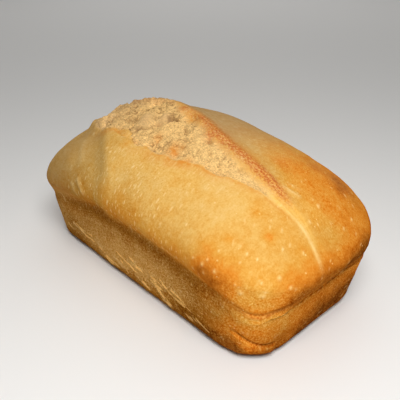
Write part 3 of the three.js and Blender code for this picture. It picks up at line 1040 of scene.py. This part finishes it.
def grain_map(found, wall, near):
    """Fine grain: strongest on the walls and low at the near end of the crown."""
    grain = mix(layer_sum(found, CROWN_GRAIN), mix(*WALL_GRAIN, near), wall)
    grain = mix(grain, BACK_GRAIN, limited(found, BACK_GRAIN_EDGE) * (1 - wall))
    return mix(grain, END_GRAIN, limited(found, END_GRAIN_EDGE) * (1 - wall))


def dull_map(points, found, wall):
    """Dull places of the crust: behind the ear, where the greyer tone is painted shade and reflection, the
    far front and some spots.
    """
    far = layer_sum(found, FAR_DULL) * (1 - wall) * (1 - far_end_share(found))
    dull = np.maximum(layer_sum(found, BACK_DULL), far)
    return np.maximum(dull, np.clip(spots(points, DULL_SPOTS), 0, DULL_SPOT_MOST))


# The closed mesh

def welded(points, ring_size):
    """Index of each point after the first and the last ring are folded onto their seams."""
    index = np.arange(len(points))
    for start in (0, len(points) - ring_size):
        seen = {}
        for n, place in enumerate(np.round(points[start:start + ring_size], WELD_DIGITS)):
            index[start + n] = seen.setdefault(tuple(place), start + n)
    return index


def loaf_surface():
    rows = Rows()
    add_base(rows)
    add_wall(rows)
    add_overhang(rows)
    add_dome(rows)
    points = np.concatenate(rows.points)
    index = welded(points, len(ALONG))
    masks = {name: np.concatenate(values) for name, values in rows.masks.items()}
    wall = masks["wall"]
    found = measures(points)
    near = limited(found, NEAR_WALL)
    masks["bake_and_shade"] = bake_and_shade_map(points, found, wall, near)
    masks["stroke"], strokes = stroke_field(points, wall)
    masks["grain"] = grain_map(found, wall, near)
    masks["fleck"] = fleck_map(found, wall)
    masks["dash"] = limited(found, DASH_END)
    masks["wall"] = wall * (1 - near)
    # Painted light and shade, a factor on the colour
    masks["shade"] = light_and_shade_map(points, found)
    dull = dull_map(points, found, masks["wall"]) * (1 - masks["crumb"])
    masks["dull"] = np.maximum(dull, masks["dull"])
    blisters = blister_field(points, found, masks)
    ridges = ridge_height(points)
    masks["pale"] = np.maximum(masks["pale"], np.maximum(blisters, np.clip(RIDGE_PALE * ridges, 0, 1)))
    lift = layered_noise(FINE_WAVES, SEED, *points.T) * ramp(points[:, 2], 0, FINE_WAVES_FOOT)
    lift = lift + BLISTER_HEIGHT * blisters + STROKE_LIFT * strokes
    lift = lift + drape_height(points) + wrinkle_height(points) + ridges
    points = points + surface_normals(points) * lift[:, None]
    return points, index, masks


def loaf_object():
    points, index, masks = loaf_surface()
    count = len(ALONG)
    faces = []
    for first in range(0, len(points) - count, count):
        for c in range(count):
            after = (c + 1) % count
            corners = (first + c, first + after, first + count + after, first + count + c)
            face = list(dict.fromkeys(index[list(corners)].tolist()))
            if len(face) > 2:
                faces.append(face)
    used = np.unique(index)
    place = np.full(len(points), -1)
    place[used] = np.arange(len(used))
    mesh = bpy.data.meshes.new("loaf_crust")
    mesh.from_pydata((points[used] * MILLIMETRE).tolist(), [], [place[face].tolist() for face in faces])
    for name, values in masks.items():
        attribute = mesh.attributes.new(name, "FLOAT", "POINT")
        attribute.data.foreach_set("value", values[used].astype(np.float32))
    mesh.polygons.foreach_set("use_smooth", [True] * len(mesh.polygons))
    mesh.update()
    return placed("loaf_crust", mesh)


# Materials

def srgb(red, green, blue):
    """Linear colour with alpha from the usual 0 to 255 values."""
    linear = []
    for value in (red, green, blue):
        share = value / 255
        linear.append(share / 12.92 if share <= 0.04045 else ((share + 0.055) / 1.055) ** 2.4)
    return (*linear, 1)


# Colours along the tone of baking, which also carries painted shade
CRUST_RAMP = (
    (0.0, srgb(210, 168, 98)),
    (0.2, srgb(214, 168, 90)),
    (0.4, srgb(212, 152, 64)),
    (0.6, srgb(214, 134, 44)),
    (0.75, srgb(200, 116, 32)),
    (0.9, srgb(162, 92, 26)),
    (1.0, srgb(122, 66, 18)),
)
WALL_RAMP = (
    (0.0, srgb(206, 153, 80)),
    (0.3, srgb(186, 132, 62)),
    (0.6, srgb(164, 106, 34)),
    (1.0, srgb(124, 70, 14)),
)
CRUMB_PALE = srgb(220, 179, 115)
CRUMB_SHADE_AND_FIBRE = srgb(154, 118, 72)
TOAST_BROWN = srgb(182, 101, 48)
GROOVE_PAINTED_SHADE = srgb(120, 68, 18)
LENS_PALE = srgb(234, 188, 100)
GLOW_ORANGE = srgb(204, 128, 48)
DULL_AND_SHADED_TAN = srgb(194, 157, 110)
PALE_SPOT = srgb(244, 206, 126)

# Noise patterns: scale, detail, stretch, turn
MOTTLE = (75, 5)
GRAIN = (420, 4, (1, 0.6, 0.6))
SPECKLE = (900, 3)
RELIEF = (330, 3)
STROKE_LINES = (460, 2, (0.2, 1, 1), STROKE_TURN)
FLECK_PATCHES = (45, 2)
FIBRES = (480, 4, (0.5, 1, 1))
PORE_PATCHES = (90, 2)
WISPS = (230, 3, (1, 0.7, 1))
GLOW_GRAIN = (300, 4)
TOAST_GRAIN = (950, 3, (0.6, 1, 1))

# Scattered spots: scale, radius, share of the cells, stretch
# The glints are painted highlights on the wall strokes
GLINTS = (640, 0.36, 0.35, (0.7, 1, 1))
HOLES = (620, 0.4, 0.45)
DASHES = (520, 0.42, 0.5, (1, 0.35, 0.35))
DOTS = (360, 0.22, 0.14)
PORES = (400, 0.34, 0.3, (0.7, 1, 1))
SPOT_SIZES = (0.6, 1.2)
SPOT_EDGE = (0.5, 1.0, 1.0, 0.0)

# Ranges of patterns: low, high, and the values that these become where they are not 0 and 1
STROKE_EDGE = (0.42, 0.75)
STROKE_FADE = (0.02, 0.3)
GLINT_FADE = (0.05, 0.4, 0.0, 0.7)
FLECK_EDGE = (0.3, 0.52, 0.4, 1.0)
PORE_EDGE = (0.42, 0.58)
WISP_EDGE = (0.0, 0.035, 1.0, 0.0)
HOLLOW_EDGE = (0, 0.85)
GLOW_EDGE = (0.3, 0.6, 0.35, 1.0)
TOAST_EDGE = (0.34, 0.64, 0.38, 1.0)

# How strongly the patterns change the tone, how deep they make the colour, and how much colours cover
TONE = {"mottle": 0.3, "grain": 0.15}
WALL_TONE = {"mottle": 0.4, "speckle": 0.8}
DEPTH = {"mottle": 0.3, "grain": 0.35, "speckle": 0.8, "holes": 0.16, "dull": 1.0, "toast": 0.9}
COVER = {"groove": 0.3, "lens": 0.7, "strokes": 0.9, "flecks": 0.9, "blisters": 0.95}
HOLLOW = {"fibre": 1.1, "pores": 0.2, "wisps": 0.45}
CRUMB_SPECKLE = 1.5
STROKE_LINE_SHARE = 2.4
STROKE_LIGHT = 1.8
STROKE_PALE = 0.5
FLECK_LIGHT = 0.5
FLECK_PALE = 0.4
ROUGHNESS = {"crust": 0.5, "matt": 0.25}
BUMP = {"speckle": 0.5, "marks": 0.5, "strength": 0.5, "distance": 0.0006}

# Colour sockets of a mix node, whose names are shared with its other kinds
MIX_FIRST = 6
MIX_SECOND = 7
MIX_RESULT = 2


class Nodes:
    """Short ways to add linked nodes to one material."""

    def __init__(self, tree):
        self.tree = tree
        self.place = tree.nodes.new("ShaderNodeTexCoord").outputs["Object"]

    def add(self, kind, settings=(), **inputs):
        node = self.tree.nodes.new(kind)
        for name, value in dict(settings).items():
            setattr(node, name, value)
        for name, value in inputs.items():
            self.put(node.inputs[name.replace("_", " ")], value)
        return node

    def put(self, socket, value):
        if isinstance(value, bpy.types.NodeSocket):
            self.tree.links.new(value, socket)
        else:
            socket.default_value = value

    def attribute(self, name):
        return self.add("ShaderNodeAttribute", {"attribute_name": name}).outputs["Fac"]

    def math(self, operation, a, b=0.0, c=0.0):
        node = self.add("ShaderNodeMath", {"operation": operation})
        for socket, value in zip(node.inputs, (a, b, c)):
            self.put(socket, value)
        return node.outputs["Value"]

    def times(self, a, b):
        return self.math("MULTIPLY", a, b)

    def most(self, a, b):
        return self.math("MAXIMUM", a, b)

    def plus(self, base, pattern, amount):
        return self.math("MULTIPLY_ADD", pattern, amount, base)

    def stretched(self, stretch, turn=0.0):
        """Places turned about the y axis and then scaled along each axis."""
        turned = {"Vector": self.place, "Rotation": (0, turn, 0), "Scale": [1 / s for s in stretch]}
        return self.add("ShaderNodeMapping", {"vector_type": "TEXTURE"}, **turned).outputs["Vector"]

    def noise(self, scale, detail=2.0, stretch=(1, 1, 1), turn=0.0):
        place = self.stretched(stretch, turn)
        return self.add("ShaderNodeTexNoise", Vector=place, Scale=scale, Detail=detail).outputs["Fac"]

    def pattern(self, *values):
        """Noise around zero."""
        return self.math("SUBTRACT", self.noise(*values), 0.5)

    def flecks(self, scale, radius, share, stretch=(1, 1, 1)):
        """Scattered spots, in the given share of the cells of a cell pattern."""
        cell = self.add("ShaderNodeTexVoronoi", Vector=self.stretched(stretch), Scale=scale)
        pick = self.add("ShaderNodeSeparateColor", Color=cell.outputs["Color"])
        chosen = self.math("LESS_THAN", pick.outputs["Red"], share)
        size = self.range(pick.outputs["Green"], 0, 1, *(size * radius for size in SPOT_SIZES))
        away = self.math("DIVIDE", cell.outputs["Distance"], size)
        return self.times(chosen, self.range(away, *SPOT_EDGE))

    def range(self, value, low, high, to_low=0.0, to_high=1.0):
        span = {"From Min": low, "From Max": high, "To Min": to_low, "To Max": to_high}
        node = self.add("ShaderNodeMapRange", {"interpolation_type": "SMOOTHSTEP"}, Value=value, **span)
        return node.outputs["Result"]

    def scaled(self, colour, scale):
        node = self.add("ShaderNodeVectorMath", {"operation": "SCALE"}, Vector=colour, Scale=scale)
        return node.outputs["Vector"]

    def brighten(self, colour, pattern, amount):
        """Colour made lighter or darker by a pattern around zero."""
        return self.scaled(colour, self.plus(1.0, pattern, amount))

    def enrich(self, colour, pattern, amount):
        """Colour made deeper or paler by a pattern around zero, with the hue kept warm."""
        power = self.plus(1.0, pattern, amount)
        return self.add("ShaderNodeGamma", Color=colour, Gamma=power).outputs["Color"]

    def blend(self, share, first, second):
        node = self.add("ShaderNodeMix", {"data_type": "RGBA"}, Factor=share)
        self.put(node.inputs[MIX_FIRST], first)
        self.put(node.inputs[MIX_SECOND], second)
        return node.outputs[MIX_RESULT]

    def ramp(self, share, stops):
        node = self.add("ShaderNodeValToRGB", Fac=share)
        elements = node.color_ramp.elements
        while len(elements) < len(stops):
            elements.new(0.5)
        for element, (place, colour) in zip(elements, stops):
            element.position = place
            element.color = colour
        return node.outputs["Color"]


def stroke_nodes(n):
    """Where the pale strokes of the long walls and the painted glints on them are."""
    stroke = n.attribute("stroke")
    lines = n.range(n.plus(stroke, n.pattern(*STROKE_LINES), STROKE_LINE_SHARE), *STROKE_EDGE)
    lines = n.times(lines, n.range(stroke, *STROKE_FADE))
    return n.most(lines, n.times(n.flecks(*GLINTS), n.range(stroke, *GLINT_FADE)))


def fleck_nodes(n):
    """Where the pale dashes, dots and blisters of the crust are; these pale specks also serve as painted
    glints.
    """
    dashes = n.times(n.flecks(*DASHES), n.attribute("dash"))
    flecks = n.times(n.most(dashes, n.flecks(*DOTS)), COVER["flecks"])
    patches = n.times(n.range(n.noise(*FLECK_PATCHES), *FLECK_EDGE), n.attribute("fleck"))
    return n.most(n.times(flecks, patches), n.times(n.attribute("pale"), COVER["blisters"]))


def crust_nodes(n, bake_and_shade, on_wall, mottle, speckle):
    """Colour of the crust and the walls before strokes and flecks."""
    grain = n.pattern(*GRAIN)
    crust = n.ramp(n.plus(n.plus(bake_and_shade, mottle, TONE["mottle"]), grain, TONE["grain"]), CRUST_RAMP)
    wall_tone = n.plus(n.plus(bake_and_shade, mottle, WALL_TONE["mottle"]), speckle, WALL_TONE["speckle"])
    colour = n.blend(on_wall, crust, n.ramp(wall_tone, WALL_RAMP))
    # Painted shade in the groove and the creases
    colour = n.blend(n.times(n.attribute("groove"), COVER["groove"]), colour, GROOVE_PAINTED_SHADE)
    colour = n.blend(n.times(n.attribute("lens"), COVER["lens"]), colour, LENS_PALE)
    grain_share = n.attribute("grain")
    colour = n.enrich(colour, mottle, DEPTH["mottle"])
    colour = n.enrich(colour, grain, DEPTH["grain"])
    colour = n.enrich(colour, n.times(speckle, grain_share), DEPTH["speckle"])
    return n.enrich(colour, n.times(n.flecks(*HOLES), grain_share), DEPTH["holes"])


def crumb_nodes(n, fibre, speckle):
    """Colour of the crumb: painted shade in its crevices and hollows, and deeper in its fibres, pores and
    wisps.
    """
    fibre_share = n.attribute("fibre")
    hollow = n.plus(n.attribute("hollow_shade"), fibre, HOLLOW["fibre"])
    pores = n.times(n.flecks(*PORES), n.range(n.noise(*PORE_PATCHES), *PORE_EDGE))
    hollow = n.plus(hollow, n.times(pores, fibre_share), HOLLOW["pores"])
    wisps = n.range(n.math("ABSOLUTE", n.pattern(*WISPS)), *WISP_EDGE)
    hollow = n.plus(hollow, n.times(wisps, fibre_share), HOLLOW["wisps"])
    colour = n.blend(n.range(hollow, *HOLLOW_EDGE), CRUMB_PALE, CRUMB_SHADE_AND_FIBRE)
    return n.brighten(colour, speckle, CRUMB_SPECKLE)


def crust_material():
    material, shader = new_material("crust")
    n = Nodes(material.node_tree)
    on_wall = n.attribute("wall")
    in_crumb = n.attribute("crumb")
    toasted = n.attribute("toast")
    speckle = n.pattern(*SPECKLE)
    fibre = n.times(n.pattern(*FIBRES), n.attribute("fibre"))
    strokes = stroke_nodes(n)
    flecks = fleck_nodes(n)
    colour = crust_nodes(n, n.attribute("bake_and_shade"), on_wall, n.pattern(*MOTTLE), speckle)
    stroke_colour = n.blend(STROKE_PALE, n.scaled(colour, STROKE_LIGHT), PALE_SPOT)
    colour = n.blend(n.times(strokes, COVER["strokes"]), colour, stroke_colour)
    # Pale flecks and blisters, which also serve as painted glints
    colour = n.blend(flecks, colour, n.blend(FLECK_PALE, n.enrich(colour, -FLECK_LIGHT, 1.0), PALE_SPOT))
    colour = n.blend(in_crumb, colour, crumb_nodes(n, fibre, speckle))
    # Dull tan, behind the ear a painted shade and reflection
    colour = n.blend(n.attribute("dull"), colour, n.enrich(DULL_AND_SHADED_TAN, fibre, DEPTH["dull"]))
    glow = n.times(n.attribute("glow"), n.range(n.noise(*GLOW_GRAIN), *GLOW_EDGE))
    colour = n.blend(glow, colour, GLOW_ORANGE)
    colour = n.blend(n.times(toasted, n.range(n.noise(*TOAST_GRAIN), *TOAST_EDGE)), colour, TOAST_BROWN)
    colour = n.enrich(colour, n.times(speckle, toasted), DEPTH["toast"])
    # The colour is scaled by the painted light and shade
    n.put(shader.inputs["Base Color"], n.scaled(colour, n.attribute("shade")))
    rough = n.plus(ROUGHNESS["crust"], n.most(in_crumb, on_wall), ROUGHNESS["matt"])
    n.put(shader.inputs["Roughness"], rough)
    shader.inputs["Specular IOR Level"].default_value = 0.0
    relief = n.plus(n.noise(*RELIEF), n.noise(*SPECKLE), BUMP["speckle"])
    relief = n.plus(relief, n.most(flecks, strokes), BUMP["marks"])
    bump = n.add("ShaderNodeBump", Height=relief, Strength=BUMP["strength"], Distance=BUMP["distance"])
    n.put(shader.inputs["Normal"], bump.outputs["Normal"])
    return material


# Floor, light and camera

FLOOR_COLOUR = (0.8, 0.79, 0.77, 1)
FLOOR_HALF_SIZE = 3
FLOOR_ROUGHNESS = 0.8
CAMERA_PLACE = Vector((248.1, -222.3, 222.2)) * MILLIMETRE
CAMERA_FORWARD = Vector((-0.6486, 0.6028, -0.4647))
CAMERA_LENS = 44.4
SENSOR_WIDTH = 36
PICTURE_SIZE = 400
NEAREST_SHOWN = 0.01
KEY = {"place": (0.32, -0.22, 0.54), "target": (0.05, -0.03, 0.08), "size": 0.3, "watts": 3.6}
BACK = {"place": (-1.3, 1.3, 1.3), "target": (-0.9, 0.9, 0), "size": 2.0, "watts": 9}
OVERHEAD_STRENGTH = 0.45
OVERHEAD_ANGLE = 70
FILL_COLOUR = (1, 0.98, 0.95, 1)
FILL_STRENGTH = 0.12
BACKDROP_STRENGTH = 0.6


def floor_object():
    half = FLOOR_HALF_SIZE
    corners = [(-half, -half, 0), (half, -half, 0), (half, half, 0), (-half, half, 0)]
    mesh = bpy.data.meshes.new("floor")
    mesh.from_pydata(corners, [], [(0, 1, 2, 3)])
    material, shader = new_material("floor")
    shader.inputs["Base Color"].default_value = FLOOR_COLOUR
    shader.inputs["Roughness"].default_value = FLOOR_ROUGHNESS
    mesh.materials.append(material)
    return placed("floor", mesh)


def area_light(name, place, target, size, watts):
    light = bpy.data.lights.new(name, "AREA")
    light.shape = "SQUARE"
    light.size = size
    light.energy = watts
    aim(placed(name, light), place, Vector(target) - Vector(place))


def overhead_light():
    light = bpy.data.lights.new("overhead", "SUN")
    light.energy = OVERHEAD_STRENGTH
    light.angle = math.radians(OVERHEAD_ANGLE)
    placed("overhead", light)


def light_scene():
    area_light("key", **KEY)
    area_light("back", **BACK)
    overhead_light()
    world = bpy.data.worlds.new("studio")
    world.use_nodes = True
    background = world.node_tree.nodes["Background"]
    background.inputs["Color"].default_value = FILL_COLOUR
    seen = world.node_tree.nodes.new("ShaderNodeLightPath").outputs["Is Camera Ray"]
    strength = world.node_tree.nodes.new("ShaderNodeMapRange")
    strength.inputs["To Min"].default_value = FILL_STRENGTH
    strength.inputs["To Max"].default_value = BACKDROP_STRENGTH
    world.node_tree.links.new(seen, strength.inputs["Value"])
    world.node_tree.links.new(strength.outputs["Result"], background.inputs["Strength"])
    bpy.context.scene.world = world


def place_camera():
    camera = bpy.data.cameras.new("camera")
    camera.lens = CAMERA_LENS
    camera.sensor_width = SENSOR_WIDTH
    camera.clip_start = NEAREST_SHOWN
    holder = placed("camera", camera)
    aim(holder, CAMERA_PLACE, CAMERA_FORWARD)
    bpy.context.scene.camera = holder


loaf = loaf_object()
loaf.data.materials.append(crust_material())
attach(loaf, "root")
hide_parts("loaf")
floor = floor_object()
light_scene()
place_camera()
bpy.context.scene.view_settings.view_transform = "Standard"
